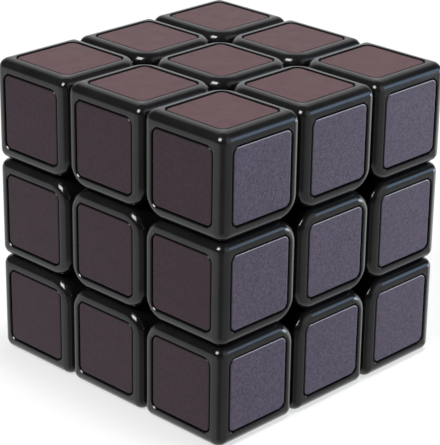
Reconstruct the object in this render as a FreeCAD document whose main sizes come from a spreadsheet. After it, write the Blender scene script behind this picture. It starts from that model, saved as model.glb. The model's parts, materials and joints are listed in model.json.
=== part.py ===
import FreeCAD, Part

import os

import Sketcher
from FreeCAD import Vector

# A 3 x 3 x 3 twisting puzzle cube: 26 visible blocks around a six-armed core.
# The origin is the middle of the core. +Z is up, -Y is the front and +X is the right.
#
# Everything inside depends only on the distance from the origin and on the height along an axis, so
# every surface where two layers meet is one of revolution and each layer turns with a constant gap:
#   foot shell   CoreReach to FootReach, layers meet at FootPlane
#   neck shell   FootReach to NeckReach, layers meet at NeckPlane
#   blocks       beyond NeckReach, layers meet at half the pitch

SIZES = {
    "CubeSize": 57.0,
    "Pitch": 19.0,
    "RunGap": 0.15,
    "CoreReach": 11.5,
    "FootReach": 17.0,
    "NeckReach": 23.0,
    "FootPlane": 4.0,
    "NeckPlane": 7.0,
    "WallThick": 1.2,
    "EdgeRound": 2.0,
    "RimRound": 1.75,
    "InnerRound": 4.3,
    "TileSide": 13.9,
    "TileThick": 1.0,
    "TileRound": 1.3,
    "TileEdge": 0.35,
    "TileSink": 0.1,
    "TileGap": 0.2,
    "WellLip": 0.15,
    "PlugPlane": 12.0,
    "PlugHalf": 5.0,
    "TowerHalf": 6.2,
    "TowerFoot": 15.0,
    "StemWide": 7.6,
    "StemTop": 18.0,
    "BoreWide": 3.2,
    "WellWide": 6.4,
    "WellFloor": 16.0,
    "SpringTop": 22.0,
    "SpringWide": 4.6,
    "SpringWire": 0.5,
    "SpringTurns": 5.0,
    "ShankWide": 2.6,
    "ShankEnd": 6.5,
    "TipLong": 1.2,
    "TipWide": 0.8,
    "FlangeWide": 5.8,
    "FlangeThick": 0.8,
    "HeadWide": 4.4,
    "HeadThick": 1.3,
    "RecessWide": 2.4,
    "RecessSlot": 0.7,
    "RecessDeep": 1.1,
    "CoreBall": 15.0,
    "ArmWide": 6.8,
    "ArmReach": 10.8,
    "PilotFloor": 5.0,
}

# Places worked out from the driving sizes, as spreadsheet expressions.
BLOCK_LOW = "(Sizes.Pitch / 2 + Sizes.RunGap)"
BLOCK_SIDE = "(Sizes.Pitch / 2 - Sizes.RunGap)"
BLOCK_TOP = "(Sizes.CubeSize / 2)"
NECK_LOW = "(Sizes.NeckPlane + Sizes.RunGap)"
NECK_SIDE = "(Sizes.NeckPlane - Sizes.RunGap)"
FOOT_LOW = "(Sizes.FootPlane + Sizes.RunGap)"
FOOT_SIDE = "(Sizes.FootPlane - Sizes.RunGap)"
TILE_FLOOR = "(Sizes.CubeSize / 2 - Sizes.TileSink - Sizes.TileThick)"
CAVITY_TOP = f"({TILE_FLOOR} - Sizes.WallThick)"
CAVITY_LOW = f"({BLOCK_LOW} + Sizes.WallThick)"
CAVITY_SIDE = f"({BLOCK_SIDE} - Sizes.WallThick)"
CAVITY_ROUND = "(Sizes.InnerRound - Sizes.WallThick)"

FACES = {
    "up": Vector(0, 0, 1),
    "down": Vector(0, 0, -1),
    "front": Vector(0, -1, 0),
    "back": Vector(0, 1, 0),
    "right": Vector(1, 0, 0),
    "left": Vector(-1, 0, 0),
}
X_FACE = FACES["right"]
Y_FACE = FACES["back"]
Z_FACE = FACES["up"]

doc = FreeCAD.newDocument("PuzzleCube")


def make_sheet():
    sheet = doc.addObject("Spreadsheet::Sheet", "Sizes")
    for row, (alias, value) in enumerate(SIZES.items(), start=1):
        sheet.set(f"A{row}", alias)
        sheet.set(f"B{row}", str(value))
        sheet.setAlias(f"B{row}", alias)
    doc.recompute()


def bind_span(target, spans):
    """Bind a box-like object's length and place on each axis to a (low, high) pair of expressions."""
    for axis, size, (low, high) in zip("xyz", ("Length", "Width", "Height"), spans):
        target.setExpression(size, f"{high} - ({low})")
        target.setExpression(f"Placement.Base.{axis}", low)


def box(name, *spans):
    solid = doc.addObject("Part::Box", name)
    bind_span(solid, spans)
    return solid


def about(half):
    """The span from minus half to plus half."""
    return (f"-{half}", half)


def ball(name, radius):
    solid = doc.addObject("Part::Sphere", name)
    solid.setExpression("Radius", radius)
    return solid


def drum(name, width, low, high):
    """A cylinder on the Z axis between two heights."""
    solid = doc.addObject("Part::Cylinder", name)
    solid.setExpression("Radius", f"{width} / 2")
    solid.setExpression("Height", f"{high} - ({low})")
    solid.setExpression("Placement.Base.z", low)
    return solid


def common(name, *shapes):
    result = doc.addObject("Part::MultiCommon", name)
    result.Shapes = list(shapes)
    return result


def fuse(name, *shapes):
    result = doc.addObject("Part::MultiFuse", name)
    result.Shapes = list(shapes)
    result.Refine = True
    return result


def group(name, shapes):
    result = doc.addObject("Part::Compound", name)
    result.Links = list(shapes)
    return result


def cut(name, base, tool):
    result = doc.addObject("Part::Cut", name)
    result.Base = base
    result.Tool = tool
    return result


def rounded(body, base, radius, wanted, name):
    """Round the straight edges of a body's feature whose direction and middle satisfy wanted."""
    doc.recompute()
    names = []
    for number, edge in enumerate(base.Shape.Edges, start=1):
        if edge.Degenerated or not isinstance(edge.Curve, Part.Line):
            continue
        along = edge.tangentAt(edge.FirstParameter)
        if wanted(along, edge.CenterOfMass):
            names.append(f"Edge{number}")
    fillet = body.newObject("PartDesign::Fillet", name)
    fillet.Base = (base, names)
    fillet.setExpression("Radius", f"Sizes.{radius}")
    return fillet


def far_count(point, along):
    """On how many axes across an edge its middle lies in an outer face of the cube."""
    top = SIZES["CubeSize"] / 2
    across = [value for value, run in zip(point, along) if abs(run) < 0.5]
    return sum(abs(value - top) < 0.01 for value in across)


def block_blank(name, spans):
    """A block's outer shape: softest where four blocks meet, tighter round each face and outer edge."""
    body = doc.addObject("PartDesign::Body", name)
    base = body.newObject("PartDesign::AdditiveBox", f"{name}Box")
    bind_span(base, spans)
    inner = rounded(body, base, "InnerRound", lambda along, mid: far_count(mid, along) == 0, f"{name}Inner")
    outer = inner
    if spans[0][1] == BLOCK_TOP:
        outer = rounded(
            body, inner, "EdgeRound", lambda along, mid: far_count(mid, along) == 2, f"{name}Outer"
        )
    rounded(body, outer, "RimRound", lambda along, mid: far_count(mid, along) == 1, f"{name}Rim")
    return body


def cavity_blank(name, spans):
    """The hollow of a block: a box whose edges are all rounded, so that the wall keeps its thickness."""
    body = doc.addObject("PartDesign::Body", name)
    base = body.newObject("PartDesign::AdditiveBox", f"{name}Box")
    bind_span(base, spans)
    doc.recompute()
    soft = body.newObject("PartDesign::Fillet", f"{name}Soft")
    soft.Base = (base, [f"Edge{number}" for number in range(1, len(base.Shape.Edges) + 1)])
    soft.setExpression("Radius", CAVITY_ROUND)
    return body


def centre_blank():
    """A centre block's outer shape. Its lower edges lie inside the neck ball, which is cut away."""
    body = doc.addObject("PartDesign::Body", "CentreBlank")
    base = body.newObject("PartDesign::AdditiveBox", "CentreBlankBox")
    bind_span(base, (about(BLOCK_SIDE), about(BLOCK_SIDE), ("Sizes.TowerFoot", BLOCK_TOP)))
    posts = rounded(body, base, "InnerRound", lambda along, mid: abs(along.z) > 0.5, "CentreBlankPosts")
    top = SIZES["CubeSize"] / 2
    rounded(body, posts, "RimRound", lambda along, mid: abs(mid.z - top) < 0.01, "CentreBlankRim")
    return body


def rounded_slab(name, half, low, high, corner, edge=None):
    """A square slab on the Z axis with round corners, and a softened top edge if one is named."""
    body = doc.addObject("PartDesign::Body", name)
    base = body.newObject("PartDesign::AdditiveBox", f"{name}Box")
    bind_span(base, (about(half), about(half), (low, high)))
    doc.recompute()
    posts = [
        f"Edge{number}"
        for number, line in enumerate(base.Shape.Edges, start=1)
        if abs(line.tangentAt(line.FirstParameter).z) > 0.5
    ]
    corners = body.newObject("PartDesign::Fillet", f"{name}Corners")
    corners.Base = (base, posts)
    corners.setExpression("Radius", corner)
    if edge:
        doc.recompute()
        top = corners.Shape.BoundBox.ZMax
        rim = [
            f"Edge{number}"
            for number, line in enumerate(corners.Shape.Edges, start=1)
            if abs(line.BoundBox.ZMin - top) < 0.01
        ]
        soft = body.newObject("PartDesign::Fillet", f"{name}Soft")
        soft.Base = (corners, rim)
        soft.setExpression("Radius", edge)
    return body


def tile_well():
    """The cutter for one tile's well: its straight wall ends in a small sloped lip at the block's face."""
    half = "(Sizes.TileSide / 2 + Sizes.TileGap)"
    above = f"({BLOCK_TOP} + Sizes.TileThick)"
    wall = rounded_slab("WellWall", half, TILE_FLOOR, above, "Sizes.TileRound + Sizes.TileGap")
    lip_half = "(Sizes.TileSide / 2 + Sizes.TileGap + Sizes.WellLip)"
    lip_round = "Sizes.TileRound + Sizes.TileGap + Sizes.WellLip"
    lip = rounded_slab("WellMouth", lip_half, f"({BLOCK_TOP} - Sizes.WellLip)", above, lip_round)
    doc.recompute()
    bottom = lip.Shape.BoundBox.ZMin
    straight = lip.Tip
    rim = [
        f"Edge{number}"
        for number, line in enumerate(straight.Shape.Edges, start=1)
        if abs(line.BoundBox.ZMax - bottom) < 0.01
    ]
    slope = lip.newObject("PartDesign::Chamfer", "WellSlope")
    slope.Base = (straight, rim)
    slope.setExpression("Size", "Sizes.WellLip")
    return fuse("TileWell", wall, lip)


def turn_to(source_axes, target_axes):
    """The rotation that takes one pair of unit directions to another."""
    source = (*source_axes, source_axes[0].cross(source_axes[1]))
    target = (*target_axes, target_axes[0].cross(target_axes[1]))
    matrix = FreeCAD.Matrix()
    for row in range(3):
        for column in range(3):
            value = sum(t[row] * s[column] for s, t in zip(source, target))
            setattr(matrix, f"A{row + 1}{column + 1}", value)
    return FreeCAD.Rotation(matrix)


def face_turn(face):
    """The rotation that takes the up face to another face."""
    side = Vector(face.y, face.z, face.x)
    return turn_to((Z_FACE, X_FACE), (face, side))


def placed(name, shapes, rotation):
    """A piece of the cube: shapes made at the up, right or up-back-right place, turned to its own."""
    piece = group(name, shapes)
    piece.Label = name
    piece.Placement = FreeCAD.Placement(Vector(), rotation)
    return piece


def on_face(name, source, face, offset_axes):
    """A copy of a shape made at the middle of the up face, on another face and over a block there."""
    copy = group(name, [source])
    rotation = face_turn(face)
    copy.Placement = FreeCAD.Placement(Vector(), rotation)
    for axis in "xyz":
        if any(getattr(offset, axis) for offset in offset_axes):
            copy.setExpression(f"Placement.Base.{axis}", "Sizes.Pitch")
    return copy


def spring_prototype():
    body = doc.addObject("PartDesign::Body", "SpringCoil")
    sketch = body.newObject("Sketcher::SketchObject", "SpringWireSection")
    plane = next(f for f in body.Origin.OriginFeatures if f.Role == "XZ_Plane")
    sketch.AttachmentSupport = (plane, "")
    sketch.MapMode = "FlatFace"
    wire = sketch.addGeometry(Part.Circle(Vector(2, 16, 0), Vector(0, 0, 1), 0.25), False)
    centre = 3
    across = sketch.addConstraint(Sketcher.Constraint("DistanceX", -1, 1, wire, centre, 2))
    up = sketch.addConstraint(Sketcher.Constraint("DistanceY", -1, 1, wire, centre, 16))
    radius = sketch.addConstraint(Sketcher.Constraint("Radius", wire, 0.25))
    sketch.setExpression(f"Constraints[{across}]", "Sizes.SpringWide / 2")
    sketch.setExpression(f"Constraints[{up}]", "Sizes.WellFloor + Sizes.SpringWire / 2")
    sketch.setExpression(f"Constraints[{radius}]", "Sizes.SpringWire / 2")
    doc.recompute()
    coil = body.newObject("PartDesign::AdditiveHelix", "SpringHelix")
    coil.Profile = (sketch, [""])
    coil.ReferenceAxis = (sketch, ["V_Axis"])
    coil.Mode = "height-turns-angle"
    coil.setExpression("Height", "Sizes.SpringTop - Sizes.WellFloor - Sizes.SpringWire")
    coil.setExpression("Turns", "Sizes.SpringTurns")
    return body


def screw_prototype():
    """A washer-head screw with a cross recess, pointing down the Z axis into the core."""
    tip_end = "Sizes.ShankEnd - Sizes.TipLong"
    flange_top = "Sizes.SpringTop + Sizes.FlangeThick"
    head_top = f"{flange_top} + Sizes.HeadThick"
    shank = drum("ScrewShank", "Sizes.ShankWide", "Sizes.ShankEnd", "Sizes.SpringTop")
    tip = doc.addObject("Part::Cone", "ScrewTip")
    tip.setExpression("Radius1", "Sizes.TipWide / 2")
    tip.setExpression("Radius2", "Sizes.ShankWide / 2")
    tip.setExpression("Height", "Sizes.TipLong")
    tip.setExpression("Placement.Base.z", tip_end)
    flange = drum("ScrewFlange", "Sizes.FlangeWide", "Sizes.SpringTop", flange_top)
    head = drum("ScrewHead", "Sizes.HeadWide", flange_top, head_top)
    blank = fuse("ScrewBlank", shank, tip, flange, head)
    wide = about("Sizes.RecessWide / 2")
    thin = about("Sizes.RecessSlot / 2")
    deep = (f"{head_top} - Sizes.RecessDeep", head_top)
    cross = fuse("ScrewCross", box("CrossAlongX", wide, thin, deep), box("CrossAlongY", thin, wide, deep))
    return cut("Screw", blank, cross)


def core_prototype():
    """The ball with three crossed bars, whose six ends take a screw each."""
    length = ("-Sizes.ArmReach", "Sizes.ArmReach")
    bars = [drum(f"CoreBar{axis}", "Sizes.ArmWide", *length) for axis in "XYZ"]
    holes = [drum(f"CoreHole{n}", "Sizes.ShankWide", "Sizes.PilotFloor", "Sizes.ArmReach") for n in range(6)]
    turned = []
    for bar, face in zip(bars, (X_FACE, Y_FACE, Z_FACE)):
        arm = group(f"{bar.Name}Turned", [bar])
        arm.Placement = FreeCAD.Placement(Vector(), face_turn(face))
        turned.append(arm)
    drilled = []
    for hole, face in zip(holes, FACES.values()):
        drill = group(f"{hole.Name}Turned", [hole])
        drill.Placement = FreeCAD.Placement(Vector(), face_turn(face))
        drilled.append(drill)
    body = fuse("CoreBody", ball("CoreMiddle", "Sizes.CoreBall / 2"), *turned)
    return cut("CoreDrilled", body, group("CoreDrills", drilled))


def centre_prototypes(tile_well):
    """The up centre: a hub that rides on the screw, with the spring well, and the cap over it."""
    side = about("Sizes.TowerHalf")
    tower_top = CAVITY_TOP
    cap_inside = fuse(
        "CapInside",
        ball("CapBall", "(Sizes.NeckReach + Sizes.RunGap)"),
        box("CapPocket", side, side, ("Sizes.TowerFoot", tower_top)),
    )
    cap = cut("CentreCap", cut("CapOpened", centre_blank(), cap_inside), tile_well)
    neck_side = about(NECK_SIDE)
    neck = common(
        "HubNeck",
        box("HubNeckBox", neck_side, neck_side, ("0", BLOCK_TOP)),
        ball("HubNeckBall", "(Sizes.NeckReach - Sizes.RunGap)"),
    )
    tower = box("HubTower", side, side, ("Sizes.TowerFoot", tower_top))
    upper = cut("HubUpper", fuse("HubMass", neck, tower), ball("HubFeet", "(Sizes.FootReach + Sizes.RunGap)"))
    stem = cut(
        "HubStem",
        drum("HubStemBar", "Sizes.StemWide", "Sizes.CoreReach / 2", "Sizes.StemTop"),
        ball("HubCoreRoom", "(Sizes.CoreReach + Sizes.RunGap)"),
    )
    bore = fuse(
        "HubBore",
        drum("HubShankBore", "Sizes.BoreWide", "0", BLOCK_TOP),
        drum("HubSpringWell", "Sizes.WellWide", "Sizes.WellFloor", BLOCK_TOP),
    )
    hub = cut("CentreHub", fuse("HubWhole", upper, stem), bore)
    return [hub, cap]


def edge_prototypes(tile_wells):
    """The up-right edge block: a hollow shell plugged onto a hooked foot."""
    low_side, high_side = (BLOCK_LOW, BLOCK_TOP), about(BLOCK_SIDE)
    blank = block_blank("EdgeBlank", (low_side, high_side, low_side))
    neck_ball = "(Sizes.NeckReach - Sizes.RunGap)"
    seat_ball = "(Sizes.NeckReach + Sizes.RunGap)"
    floor_ball = "(Sizes.NeckReach + Sizes.RunGap + Sizes.WallThick)"

    def part(name, low, side, reach, room):
        inside = box(f"{name}Box", (low, BLOCK_TOP), about(side), (low, BLOCK_TOP))
        shell = common(f"{name}Shell", inside, ball(f"{name}Ball", reach))
        return cut(name, shell, ball(f"{name}Room", room))

    core_room = "(Sizes.CoreReach + Sizes.RunGap)"
    neck_room = "(Sizes.FootReach + Sizes.RunGap)"
    foot = fuse(
        "EdgeFoot",
        part("EdgeNeck", NECK_LOW, NECK_SIDE, neck_ball, neck_room),
        part("EdgeColumn", BLOCK_LOW, NECK_SIDE, seat_ball, neck_room),
        part("EdgeHook", FOOT_LOW, FOOT_SIDE, "(Sizes.FootReach - Sizes.RunGap)", core_room),
        part("EdgeBridge", NECK_LOW, FOOT_SIDE, neck_ball, core_room),
        part("EdgePlug", "Sizes.PlugPlane", "Sizes.PlugHalf", floor_ball, neck_room),
    )
    cavity = cut(
        "EdgeCavity",
        cavity_blank("EdgeHollow", ((CAVITY_LOW, CAVITY_TOP), about(CAVITY_SIDE), (CAVITY_LOW, CAVITY_TOP))),
        ball("EdgeFloorBall", floor_ball),
    )
    plug_hole = part("EdgePlugHole", "Sizes.PlugPlane", "Sizes.PlugHalf", floor_ball, neck_room)
    inside = fuse("EdgeInside", cavity, ball("EdgeSeatBall", seat_ball), plug_hole)
    shell = cut("EdgeShell", cut("EdgeOpened", blank, inside), group("EdgeTileWells", tile_wells))
    return [shell, foot]


def corner_prototypes(tile_wells):
    """The up-back-right corner block: a hollow shell seated on a ball-shaped foot."""
    side = (BLOCK_LOW, BLOCK_TOP)
    blank = block_blank("CornerBlank", (side, side, side))
    neck_ball = "(Sizes.NeckReach - Sizes.RunGap)"
    neck_span = (NECK_LOW, BLOCK_TOP)
    foot_span = (FOOT_LOW, BLOCK_TOP)
    neck = common("CornerNeck", box("CornerNeckBox", *[neck_span] * 3), ball("CornerNeckBall", neck_ball))
    hook_ball = ball("CornerHookBall", "(Sizes.FootReach - Sizes.RunGap)")
    hook = common("CornerHookShell", box("CornerHookBox", *[foot_span] * 3), hook_ball)
    hook_room = ball("CornerHookRoom", "(Sizes.CoreReach + Sizes.RunGap)")
    foot = fuse("CornerFoot", neck, cut("CornerHook", hook, hook_room))
    cavity = cavity_blank("CornerHollow", [(CAVITY_LOW, CAVITY_TOP)] * 3)
    inside = fuse("CornerInside", cavity, ball("CornerSeatBall", neck_ball))
    shell = cut("CornerShell", cut("CornerOpened", blank, inside), group("CornerTileWells", tile_wells))
    return [shell, foot]


def tile_set(name, source, places):
    return [on_face(f"{name}{n}", source, face, others) for n, (face, others) in enumerate(places)]


def build_pieces():
    """Every piece of the cube at its own place, by name."""
    tile_top = "(Sizes.CubeSize / 2 - Sizes.TileSink)"
    tile = rounded_slab(
        "Tile", "(Sizes.TileSide / 2)", TILE_FLOOR, tile_top, "Sizes.TileRound", "Sizes.TileEdge"
    )
    well = tile_well()
    edge_places = [(Z_FACE, [X_FACE]), (X_FACE, [Z_FACE])]
    corner_places = [(X_FACE, [Y_FACE, Z_FACE]), (Y_FACE, [Z_FACE, X_FACE]), (Z_FACE, [X_FACE, Y_FACE])]
    centre = centre_prototypes(well)
    edge = edge_prototypes(tile_set("EdgeWell", well, edge_places))
    edge_tiles = tile_set("EdgeTile", tile, edge_places)
    corner = corner_prototypes(tile_set("CornerWell", well, corner_places))
    corner_tiles = tile_set("CornerTile", tile, corner_places)
    spring = spring_prototype()
    screw = screw_prototype()

    pieces = [placed("core", [core_prototype()], FreeCAD.Rotation())]
    screws = []
    for label, face in FACES.items():
        turn = face_turn(face)
        screws.append(placed(f"Screw_{label}", [screw], turn))
        pieces.append(placed(f"centre_{label}", centre, turn))
        pieces.append(placed(f"tile_centre_{label}", [tile], turn))
        pieces.append(placed(f"spring_{label}", [spring], turn))
    pieces.append(placed("screws", screws, FreeCAD.Rotation()))

    for first, second in EDGES:
        turn = turn_to((Z_FACE, X_FACE), (FACES[first], FACES[second]))
        pieces.append(placed(f"edge_{first}_{second}", edge, turn))
        pieces.append(placed(f"tiles_edge_{first}_{second}", edge_tiles, turn))

    for height, depth, width in CORNERS:
        trio = [FACES[height], FACES[depth], FACES[width]]
        right_handed = trio[0].cross(trio[1]).dot(trio[2]) < 0
        pair = (trio[0], trio[2]) if right_handed else (trio[0], trio[1])
        turn = turn_to((Z_FACE, X_FACE), pair)
        pieces.append(placed(f"corner_{height}_{depth}_{width}", corner, turn))
        pieces.append(placed(f"tiles_corner_{height}_{depth}_{width}", corner_tiles, turn))
    return pieces


EDGES = [(height, side) for height in ("up", "down") for side in ("front", "back", "right", "left")]
EDGES += [(depth, width) for depth in ("front", "back") for width in ("right", "left")]
CORNERS = [
    (height, depth, width)
    for height in ("up", "down")
    for depth in ("front", "back")
    for width in ("right", "left")
]


def check(pieces):
    for item in doc.Objects:
        if "Invalid" in item.State or "Error" in item.State:
            raise RuntimeError(f"{item.Name} failed: {item.State}")
    for piece in pieces:
        if piece.Shape.isNull() or not piece.Shape.isValid():
            raise RuntimeError(f"{piece.Label} has no valid shape")


def main():
    make_sheet()
    pieces = build_pieces()
    doc.recompute()
    check(pieces)
    os.makedirs("parts", exist_ok=True)
    for piece in pieces:
        piece.Shape.exportStep(f"parts/{piece.Label}.step")
        volumes = " ".join(f"{solid.Volume:.0f}" for solid in piece.Shape.Solids)
        print(f"{piece.Label}: {len(piece.Shape.Solids)} solids, mm3 {volumes}")


main()
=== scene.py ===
import json
import math

import bmesh
import bpy
from mathutils import Matrix, Vector


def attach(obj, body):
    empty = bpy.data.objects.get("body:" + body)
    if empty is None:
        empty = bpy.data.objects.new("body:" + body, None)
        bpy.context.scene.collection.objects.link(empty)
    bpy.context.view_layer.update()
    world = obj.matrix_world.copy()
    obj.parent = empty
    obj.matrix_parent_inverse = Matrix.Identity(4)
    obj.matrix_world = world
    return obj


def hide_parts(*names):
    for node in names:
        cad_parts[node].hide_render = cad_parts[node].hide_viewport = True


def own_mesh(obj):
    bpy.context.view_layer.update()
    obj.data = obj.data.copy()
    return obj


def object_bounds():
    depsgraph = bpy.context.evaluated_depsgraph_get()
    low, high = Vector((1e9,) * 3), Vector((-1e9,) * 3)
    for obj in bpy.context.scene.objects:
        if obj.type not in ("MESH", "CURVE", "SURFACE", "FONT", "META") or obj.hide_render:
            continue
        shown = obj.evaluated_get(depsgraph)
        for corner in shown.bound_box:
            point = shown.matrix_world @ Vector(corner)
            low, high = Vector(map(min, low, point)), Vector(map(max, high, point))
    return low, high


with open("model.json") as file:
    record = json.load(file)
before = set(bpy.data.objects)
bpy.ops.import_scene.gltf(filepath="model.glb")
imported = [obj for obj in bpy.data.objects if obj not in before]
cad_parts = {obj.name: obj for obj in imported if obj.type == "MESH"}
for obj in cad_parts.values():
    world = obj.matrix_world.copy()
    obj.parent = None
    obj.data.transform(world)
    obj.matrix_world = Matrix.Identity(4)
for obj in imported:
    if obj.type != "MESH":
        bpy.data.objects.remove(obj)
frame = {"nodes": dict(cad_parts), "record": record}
cad_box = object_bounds()

MM = 0.001
HALF = cad_box[1].z
TILE_TOP = HALF - 0.1 * MM

# The camera, as azimuth and elevation round the cube, roll, distance from the point it looks at, and lens.
VIEW_AZIMUTH = math.radians(44.20)
VIEW_ELEVATION = math.radians(22.69)
VIEW_ROLL = math.radians(0.82)
VIEW_DISTANCE = 0.3568
VIEW_AIM = Vector((0.91, -0.60, -2.54)) * MM
VIEW_LENS = 157.27
VIEW_SENSOR = 36
VIEW_CLIP = 0.01

# A tile's tint, by the pair of opposite cube faces that it lies on: one dark tile colour with light and
# shade painted in, shaded plum at the front and back, lit grey-violet at the sides and lit red-brown on
# top and below.
PLUM_SHADED_FRONT = (0.017, 0.0055, 0.0125)
GREY_VIOLET_LIT_SIDES = (0.048, 0.037, 0.060)
RED_BROWN_LIT_TOP = (0.038, 0.011, 0.0145)
# The tiles' rounded edges: their own dark tone, and a painted highlight, pale as if lit, for edges on the
# side faces that face up or back.
EDGE_DARK = (0.020, 0.014, 0.018)
EDGE_PAINTED_HIGHLIGHT = (0.30, 0.28, 0.32)
# Near black painted on the tiles' side walls, as shade in the grooves.
GROOVE_SHADE_BLACK = (0.004, 0.004, 0.004)

# Depths below the tiles' faces, as where something starts and where it is fully there: the rounded edge of a
# tile, its side wall and, met from below, the tiles of a face as against those of its neighbours.
EDGE_DEPTHS = (0.003 * MM, 0.03 * MM)
WALL_DEPTHS = (0.06 * MM, 0.12 * MM)
FACE_DEPTHS = (2.0 * MM, 1.5 * MM)

# A spring under a screw head, as places along the screw and sizes. Its ends lie closed and then open out.
SPRING_LOW = 16.0 * MM
SPRING_HIGH = 22.0 * MM
SPRING_RADIUS = 2.3 * MM
SPRING_WIRE = 0.5 * MM
SPRING_PITCH = 1.3 * MM
SPRING_TURNS = 6.0
CLOSED_TURNS = 0.6
OPENING_TURNS = 0.6
COIL_STEPS = 32
WIRE_SIDES = 12

FLOOR_REACH = 1.6
WHITE = (1.0, 1.0, 1.0)

FACES = {
    "up": Vector((0, 0, 1)),
    "down": Vector((0, 0, -1)),
    "front": Vector((0, -1, 0)),
    "back": Vector((0, 1, 0)),
    "right": Vector((1, 0, 0)),
    "left": Vector((-1, 0, 0)),
}


# ---------------------------------------------------------------- materials


class Nodes:
    """A material's node tree with short helpers. Texture coordinates are the object's own, in metres."""

    def __init__(self, name):
        self.material = bpy.data.materials.new(name)
        self.material.use_nodes = True
        self.tree = self.material.node_tree
        self.tree.nodes.clear()
        self.shader = self.add("ShaderNodeBsdfPrincipled")
        output = self.add("ShaderNodeOutputMaterial")
        self.join(self.shader.outputs["BSDF"], output.inputs["Surface"])
        self.place = self.add("ShaderNodeTexCoord").outputs["Object"]

    def add(self, kind, **inputs):
        node = self.tree.nodes.new(kind)
        for name, value in inputs.items():
            node.inputs[name.replace("_", " ")].default_value = value
        return node

    def join(self, source, target):
        self.tree.links.new(source, target)

    def noise(self, size_mm, detail=2.0, roughness=0.5, stretch=None):
        """Noise whose features are about size_mm across, from 0 to 1."""
        node = self.add("ShaderNodeTexNoise", Scale=1 / (size_mm * MM), Detail=detail, Roughness=roughness)
        place = self.place
        if stretch:
            mapping = self.add("ShaderNodeMapping", Scale=stretch)
            self.join(place, mapping.inputs["Vector"])
            place = mapping.outputs["Vector"]
        self.join(place, node.inputs["Vector"])
        return node.outputs["Fac"]

    def ramp(self, source, low, high, first=0.0, last=1.0):
        """The source's range from low to high, mapped onto first to last and held beyond them."""
        node = self.add("ShaderNodeMapRange")
        for name, value in zip(("From Min", "From Max", "To Min", "To Max"), (low, high, first, last)):
            node.inputs[name].default_value = value
        self.join(source, node.inputs["Value"])
        return node.outputs["Result"]

    def below_face(self, reach, depths):
        """0 to 1 from the first depth below the tiles' faces to the second."""
        first, second = depths
        return self.ramp(reach, TILE_TOP - first, TILE_TOP - second)

    def blend(self, factor, first, second):
        node = self.add("ShaderNodeMix")
        node.data_type = "RGBA"
        self.join(factor, node.inputs["Factor"])
        for value, target in ((first, node.inputs["A"]), (second, node.inputs["B"])):
            if isinstance(value, tuple):
                target.default_value = (*value, 1)
            else:
                self.join(value, target)
        return node.outputs["Result"]

    def math(self, operation, *sources):
        node = self.add("ShaderNodeMath")
        node.operation = operation
        for source, target in zip(sources, node.inputs):
            self.join(source, target)
        return node.outputs["Value"]

    def split(self, vector):
        """A vector's three parts, by axis letter."""
        node = self.add("ShaderNodeSeparateXYZ")
        self.join(vector, node.inputs["Vector"])
        return node.outputs

    def scaled(self, colour, factor):
        """A colour times a factor."""
        node = self.add("ShaderNodeVectorMath")
        node.operation = "SCALE"
        self.join(colour, node.inputs["Vector"])
        self.join(factor, node.inputs["Scale"])
        return node.outputs["Vector"]

    def bump(self, height, depth_mm, after=None, strength=1.0):
        node = self.add("ShaderNodeBump", Strength=strength, Distance=depth_mm * MM)
        self.join(height, node.inputs["Height"])
        if after:
            self.join(after, node.inputs["Normal"])
        return node.outputs["Normal"]

    def finish(self, colour=None, roughness=None, normal=None, **fixed):
        for name, value in fixed.items():
            self.shader.inputs[name.replace("_", " ")].default_value = value
        for name, source in (("Base Color", colour), ("Roughness", roughness), ("Normal", normal)):
            if source is not None:
                self.join(source, self.shader.inputs[name])
        return self.material


def black_plastic():
    """Polished black plastic: faint flow marks, fine handling marks and a slight orange-peel surface."""
    n = Nodes("black_plastic")
    flow = n.ramp(n.noise(size_mm=6, detail=3), 0.35, 0.65)
    colour = n.blend(flow, (0.0035, 0.0036, 0.0040), (0.0060, 0.0060, 0.0065))
    handling = n.noise(size_mm=0.5, detail=4, roughness=0.65, stretch=(1, 0.12, 0.4))
    roughness = n.ramp(handling, 0.35, 0.75, first=0.09, last=0.2)
    peel = n.bump(n.noise(size_mm=1.6, detail=1), depth_mm=0.004)
    normal = n.bump(n.noise(size_mm=0.35, detail=2), depth_mm=0.0012, after=peel)
    return n.finish(colour, roughness, normal, IOR=1.46)


def tile_tint(n, on_side, on_top):
    """The tint of a tile's face, with light and shade painted in per face, a slow drift and a sandy grain,
    which is weaker on top.
    """
    # Painted light and shade: the tint is darkest at the front and back and lighter at the sides and on top.
    tint = n.blend(on_top, n.blend(on_side, PLUM_SHADED_FRONT, GREY_VIOLET_LIT_SIDES), RED_BROWN_LIT_TOP)
    drift = n.ramp(n.noise(size_mm=9, detail=2), 0.35, 0.65)
    sand = n.noise(size_mm=0.42, detail=3, roughness=0.7)
    grain = n.noise(size_mm=0.16, detail=3, roughness=0.7)
    smooth = n.scaled(tint, n.ramp(drift, 0, 1, first=0.97, last=1.03))
    sandy = n.scaled(smooth, n.ramp(sand, 0.3, 0.7, first=0.5, last=1.5))
    sandy = n.scaled(sandy, n.ramp(grain, 0.35, 0.7, first=0.7, last=1.6))
    colour = n.blend(n.ramp(on_top, 0, 1, first=0, last=0.65), sandy, smooth)
    normal = n.bump(grain, depth_mm=0.02, strength=0.6, after=n.bump(sand, depth_mm=0.03, strength=0.8))
    return colour, normal


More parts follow.
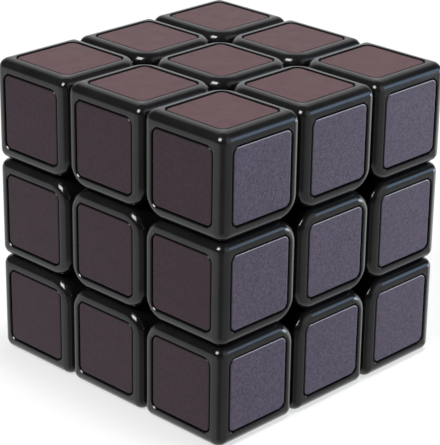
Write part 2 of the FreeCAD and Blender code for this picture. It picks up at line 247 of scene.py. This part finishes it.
def satin_tile():
    """Dark satin tile with a sandy grain, smoother edges and side walls painted black as shade in the
    grooves.

    Each pair of opposite faces of the cube has light and shade painted into its tint: shaded plum at the
    front and back, lit grey-violet at the sides and lit red-brown on top and below. On the side faces, edges
    that face up or back carry a painted highlight.
    """
    n = Nodes("satin_tile")
    place = n.split(n.place)
    reach = {axis: n.math("ABSOLUTE", place[axis]) for axis in "XYZ"}
    on_side = n.below_face(reach["X"], FACE_DEPTHS)
    on_top = n.below_face(reach["Z"], FACE_DEPTHS)
    height = n.math("MAXIMUM", n.math("MAXIMUM", reach["X"], reach["Y"]), reach["Z"])
    edge = n.below_face(height, EDGE_DEPTHS)
    wall = n.below_face(height, WALL_DEPTHS)
    facing = n.split(n.add("ShaderNodeTexCoord").outputs["Normal"])
    # Painted highlight: on the side faces, edges that face up or back are painted pale, as if lit.
    lit = n.ramp(n.math("ADD", facing["Y"], facing["Z"]), 0.05, 0.5)
    edge_highlight = n.blend(n.math("MULTIPLY", on_side, lit), EDGE_DARK, EDGE_PAINTED_HIGHLIGHT)
    colour, normal = tile_tint(n, on_side, on_top)
    # Painted shade: below a small depth the tiles' side walls are painted near black, as shade in the
    # grooves.
    colour = n.blend(wall, n.blend(edge, colour, edge_highlight), GROOVE_SHADE_BLACK)
    roughness = n.ramp(n.noise(size_mm=2.5, detail=3), 0.3, 0.7, first=0.40, last=0.45)
    roughness = n.math("MULTIPLY", roughness, n.ramp(edge, 0, 1, first=1, last=0.5))
    return n.finish(colour, roughness, normal, IOR=1.5, Specular_IOR_Level=0.25)


def core_plastic():
    """Unpolished moulded plastic with a soft mottle."""
    n = Nodes("core_plastic")
    colour = n.blend(n.noise(size_mm=3, detail=3), (0.50, 0.50, 0.48), (0.62, 0.62, 0.60))
    roughness = n.ramp(n.noise(size_mm=0.8, detail=3), 0.3, 0.7, first=0.4, last=0.55)
    normal = n.bump(n.noise(size_mm=0.3, detail=3), depth_mm=0.01)
    return n.finish(colour, roughness, normal)


def steel(name, bright, dull, stretch):
    """Drawn or turned steel with marks along one way."""
    n = Nodes(name)
    lines = n.noise(size_mm=0.12, detail=4, stretch=stretch)
    colour = n.blend(n.ramp(lines, 0.3, 0.7), dull, bright)
    roughness = n.ramp(n.noise(size_mm=0.4, detail=3), 0.3, 0.7, first=0.22, last=0.38)
    normal = n.bump(lines, depth_mm=0.004)
    return n.finish(colour, roughness, normal, Metallic=1.0)


MATERIALS = {
    "block_plastic": black_plastic(),
    "tile": satin_tile(),
    "core_plastic": core_plastic(),
    "screw_steel": steel("zinc_steel", (0.62, 0.61, 0.57), (0.48, 0.47, 0.44), (1, 1, 0.2)),
    "spring_steel": steel("spring_wire", (0.58, 0.58, 0.58), (0.42, 0.42, 0.43), (0.2, 1, 1)),
}
SLOTS = {row["node"]: row["material_slot"] for row in frame["record"]["subparts"]}


def dress_nodes():
    for name, node in frame["nodes"].items():
        node.data.materials.clear()
        node.data.materials.append(MATERIALS[SLOTS[name]])


# ---------------------------------------------------------------- springs


def coil_line():
    """Middle line of a spring's wire, along +Z. The wire lies closed at each end."""
    middle = SPRING_TURNS / 2
    steps = round(SPRING_TURNS * COIL_STEPS)
    rises = []
    for step in range(steps):
        from_end = middle - abs((step + 0.5) / COIL_STEPS - middle)
        opened = min(max(from_end - CLOSED_TURNS, 0.0) / OPENING_TURNS, 1.0)
        rises.append(SPRING_WIRE + (SPRING_PITCH - SPRING_WIRE) * opened * opened * (3 - 2 * opened))
    scale = (SPRING_HIGH - SPRING_LOW - SPRING_WIRE) / sum(rises)
    height = SPRING_LOW + SPRING_WIRE / 2
    line = []
    for step, rise in enumerate([*rises, 0.0]):
        angle = 2 * math.pi * step / COIL_STEPS
        line.append(Vector((SPRING_RADIUS * math.cos(angle), SPRING_RADIUS * math.sin(angle), height)))
        height += rise * scale
    return line


def wire_points(line):
    """A ring of points round each point of the line."""
    points = []
    for index, place in enumerate(line):
        along = (line[min(index + 1, len(line) - 1)] - line[max(index - 1, 0)]).normalized()
        outward = Vector((place.x, place.y, 0)).normalized()
        across = along.cross(outward)
        for side in range(WIRE_SIDES):
            angle = 2 * math.pi * side / WIRE_SIDES
            offset = (outward * math.cos(angle) + across * math.sin(angle)) * (SPRING_WIRE / 2)
            points.append(place + offset)
    return points


def wire_faces(rings):
    """The faces between the rings of points, and the two ends."""
    faces = []
    for ring in range(rings - 1):
        low = ring * WIRE_SIDES
        high = low + WIRE_SIDES
        for side in range(WIRE_SIDES):
            after = (side + 1) % WIRE_SIDES
            faces.append((low + side, low + after, high + after, high + side))
    faces.append(tuple(range(WIRE_SIDES)))
    faces.append(tuple(range((rings - 1) * WIRE_SIDES, rings * WIRE_SIDES)))
    return faces


def spring_mesh(name, normal):
    line = coil_line()
    turn = Vector((0, 0, 1)).rotation_difference(normal).to_matrix()
    mesh = bpy.data.meshes.new(name)
    mesh.from_pydata([turn @ point for point in wire_points(line)], [], wire_faces(len(line)))
    body = bmesh.new()
    body.from_mesh(mesh)
    bmesh.ops.recalc_face_normals(body, faces=body.faces)
    body.to_mesh(mesh)
    body.free()
    mesh.shade_smooth()
    mesh.materials.append(MATERIALS["spring_steel"])
    return mesh


def make_spring(face, normal):
    """A coil spring under a screw head, attached to the spring's body in place of the CAD spring."""
    name = f"coil_{face}"
    spring = bpy.data.objects.new(name, spring_mesh(name, normal))
    bpy.context.scene.collection.objects.link(spring)
    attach(spring, f"spring_{face}")
    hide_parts(f"spring_{face}")
    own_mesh(spring)


# ---------------------------------------------------------------- floor, light and camera


def paper():
    """White sheet of a light table, with a faint unevenness."""
    n = Nodes("paper")
    shade = n.blend(n.noise(size_mm=40, detail=2), (0.215, 0.215, 0.215), (0.212, 0.212, 0.212))
    roughness = n.ramp(n.noise(size_mm=9), 0, 1, first=0.8, last=0.85)
    n.shader.inputs["Emission Color"].default_value = (*WHITE, 1)
    return n.finish(shade, roughness, IOR=1.3, Emission_Strength=0.62)


def make_floor():
    """A sheet of white paper far larger than the view. The cube mirrors the world's ground instead of it."""
    mesh = bpy.data.meshes.new("floor")
    signs = ((-1, -1), (1, -1), (1, 1), (-1, 1))
    corners = [(x * FLOOR_REACH, y * FLOOR_REACH, -HALF) for x, y in signs]
    mesh.from_pydata(corners, [], [(0, 1, 2, 3)])
    mesh.materials.append(paper())
    floor = bpy.data.objects.new("floor", mesh)
    floor.visible_glossy = False
    floor.visible_diffuse = False
    floor.visible_shadow = False
    bpy.context.scene.collection.objects.link(floor)


def soft_box(name, toward, distance, size, watts, colour=WHITE, mirrored=True):
    """A square area light in a direction from the cube, facing it. It shows in reflections if mirrored."""
    light = bpy.data.lights.new(name, "AREA")
    light.shape = "SQUARE"
    light.size = size
    light.energy = watts
    light.color = colour
    lamp = bpy.data.objects.new(name, light)
    away = Vector(toward).normalized()
    lamp.location = away * distance
    lamp.rotation_euler = away.to_track_quat("Z", "Y").to_euler()
    lamp.visible_glossy = mirrored
    bpy.context.scene.collection.objects.link(lamp)


def make_lights():
    pale_blue = (0.90, 0.95, 1.0)
    cool = (0.8, 0.9, 1.0)
    soft_box("key_above", (0.08, 0.1, 1.0), 2.0, size=0.45, watts=39.5, mirrored=False)
    soft_box("side_right", (0.75, 0.6, 0.3), 0.3, size=0.25, watts=0.85, colour=pale_blue, mirrored=False)
    soft_box("cool_back", (0.5, 0.86, 0.02), 1.5, size=0.4, watts=3.6, colour=cool)
    soft_box("front", (0.06, -0.68, 0.72), 1.5, size=0.65, watts=24.0)


class Surround:
    """The world's node tree, with helpers for soft patches of light in given directions from the cube."""

    def __init__(self):
        self.world = bpy.data.worlds.new("surround")
        self.world.use_nodes = True
        self.tree = self.world.node_tree
        self.tree.nodes.clear()
        self.place = self.tree.nodes.new("ShaderNodeTexCoord").outputs["Generated"]

    def patch(self, direction, cosines, values):
        """From the first value to the second, as the cosine of the angle from a direction goes likewise."""
        toward = self.tree.nodes.new("ShaderNodeVectorMath")
        toward.operation = "DOT_PRODUCT"
        toward.inputs[1].default_value = Vector(direction).normalized()
        self.tree.links.new(self.place, toward.inputs[0])
        band = self.tree.nodes.new("ShaderNodeMapRange")
        band.interpolation_type = "SMOOTHSTEP"
        for name, value in zip(("From Min", "From Max", "To Min", "To Max"), (*cosines, *values)):
            band.inputs[name].default_value = value
        self.tree.links.new(toward.outputs["Value"], band.inputs["Value"])
        return band.outputs["Result"]

    def both(self, operation, first, second):
        node = self.tree.nodes.new("ShaderNodeMath")
        node.operation = operation
        self.tree.links.new(first, node.inputs[0])
        self.tree.links.new(second, node.inputs[1])
        return node.outputs["Value"]

    def glow(self, strength, colour):
        node = self.tree.nodes.new("ShaderNodeBackground")
        node.inputs["Color"].default_value = (*colour, 1)
        self.tree.links.new(strength, node.inputs["Strength"])
        return node.outputs["Background"]

    def added(self, first, second):
        node = self.tree.nodes.new("ShaderNodeAddShader")
        self.tree.links.new(first, node.inputs[0])
        self.tree.links.new(second, node.inputs[1])
        return node.outputs["Shader"]

    def finish(self, shader):
        output = self.tree.nodes.new("ShaderNodeOutputWorld")
        self.tree.links.new(shader, output.inputs["Surface"])
        return self.world


def make_world():
    """What the cube mirrors.

    A pale ground, darker to the right and on the near side, a white wall at the left and back, a soft light
    at the right, a low blue panel beyond it and a glow behind the cube.
    """
    s = Surround()
    near = (math.sin(VIEW_AZIMUTH), -math.cos(VIEW_AZIMUTH), 0)
    left_and_back = s.patch((-1, 0, 0), (-0.65, 0.0), (0.6, 1.0))
    not_near = s.patch(near, (0.75, 0.94), (1.0, 0.4))
    below = s.patch((0, 0, 1), (0.0, 0.25), (1.0, 0.1))
    ground = s.both("MULTIPLY", s.both("MULTIPLY", left_and_back, not_near), below)
    wall = s.patch((-0.66, 0.68, 0.32), (0.6, 0.95), (0.0, 0.95))
    right = s.patch((0.85, 0.3, 0.4), (0.75, 1.0), (0.0, 0.9))
    room = s.glow(s.both("MAXIMUM", s.both("MAXIMUM", ground, wall), right), WHITE)
    panel = s.glow(s.patch((0.62, 0.72, 0.28), (0.975, 0.995), (0.0, 2.8)), (0.42, 0.66, 1.0))
    behind = s.glow(s.patch((0.25, 0.95, -0.15), (0.9, 0.985), (0.0, 1.3)), (0.9, 0.95, 1.0))
    bpy.context.scene.world = s.finish(s.added(s.added(room, panel), behind))


def make_camera():
    away = Vector((
        math.cos(VIEW_ELEVATION) * math.sin(VIEW_AZIMUTH),
        -math.cos(VIEW_ELEVATION) * math.cos(VIEW_AZIMUTH),
        math.sin(VIEW_ELEVATION),
    ))
    level = Vector((math.cos(VIEW_AZIMUTH), math.sin(VIEW_AZIMUTH), 0))
    upright = away.cross(level)
    turn = Matrix((level, upright, away)).transposed() @ Matrix.Rotation(VIEW_ROLL, 3, "Z")
    camera = bpy.data.objects.new("camera", bpy.data.cameras.new("camera"))
    camera.data.lens = VIEW_LENS
    camera.data.sensor_width = VIEW_SENSOR
    camera.data.clip_start = VIEW_CLIP
    camera.location = VIEW_AIM + away * VIEW_DISTANCE
    camera.rotation_euler = turn.to_euler()
    bpy.context.scene.collection.objects.link(camera)
    bpy.context.scene.camera = camera


dress_nodes()
for face, normal in FACES.items():
    make_spring(face, normal)
make_floor()
make_lights()
make_world()
make_camera()
bpy.context.scene.view_settings.view_transform = "Standard"
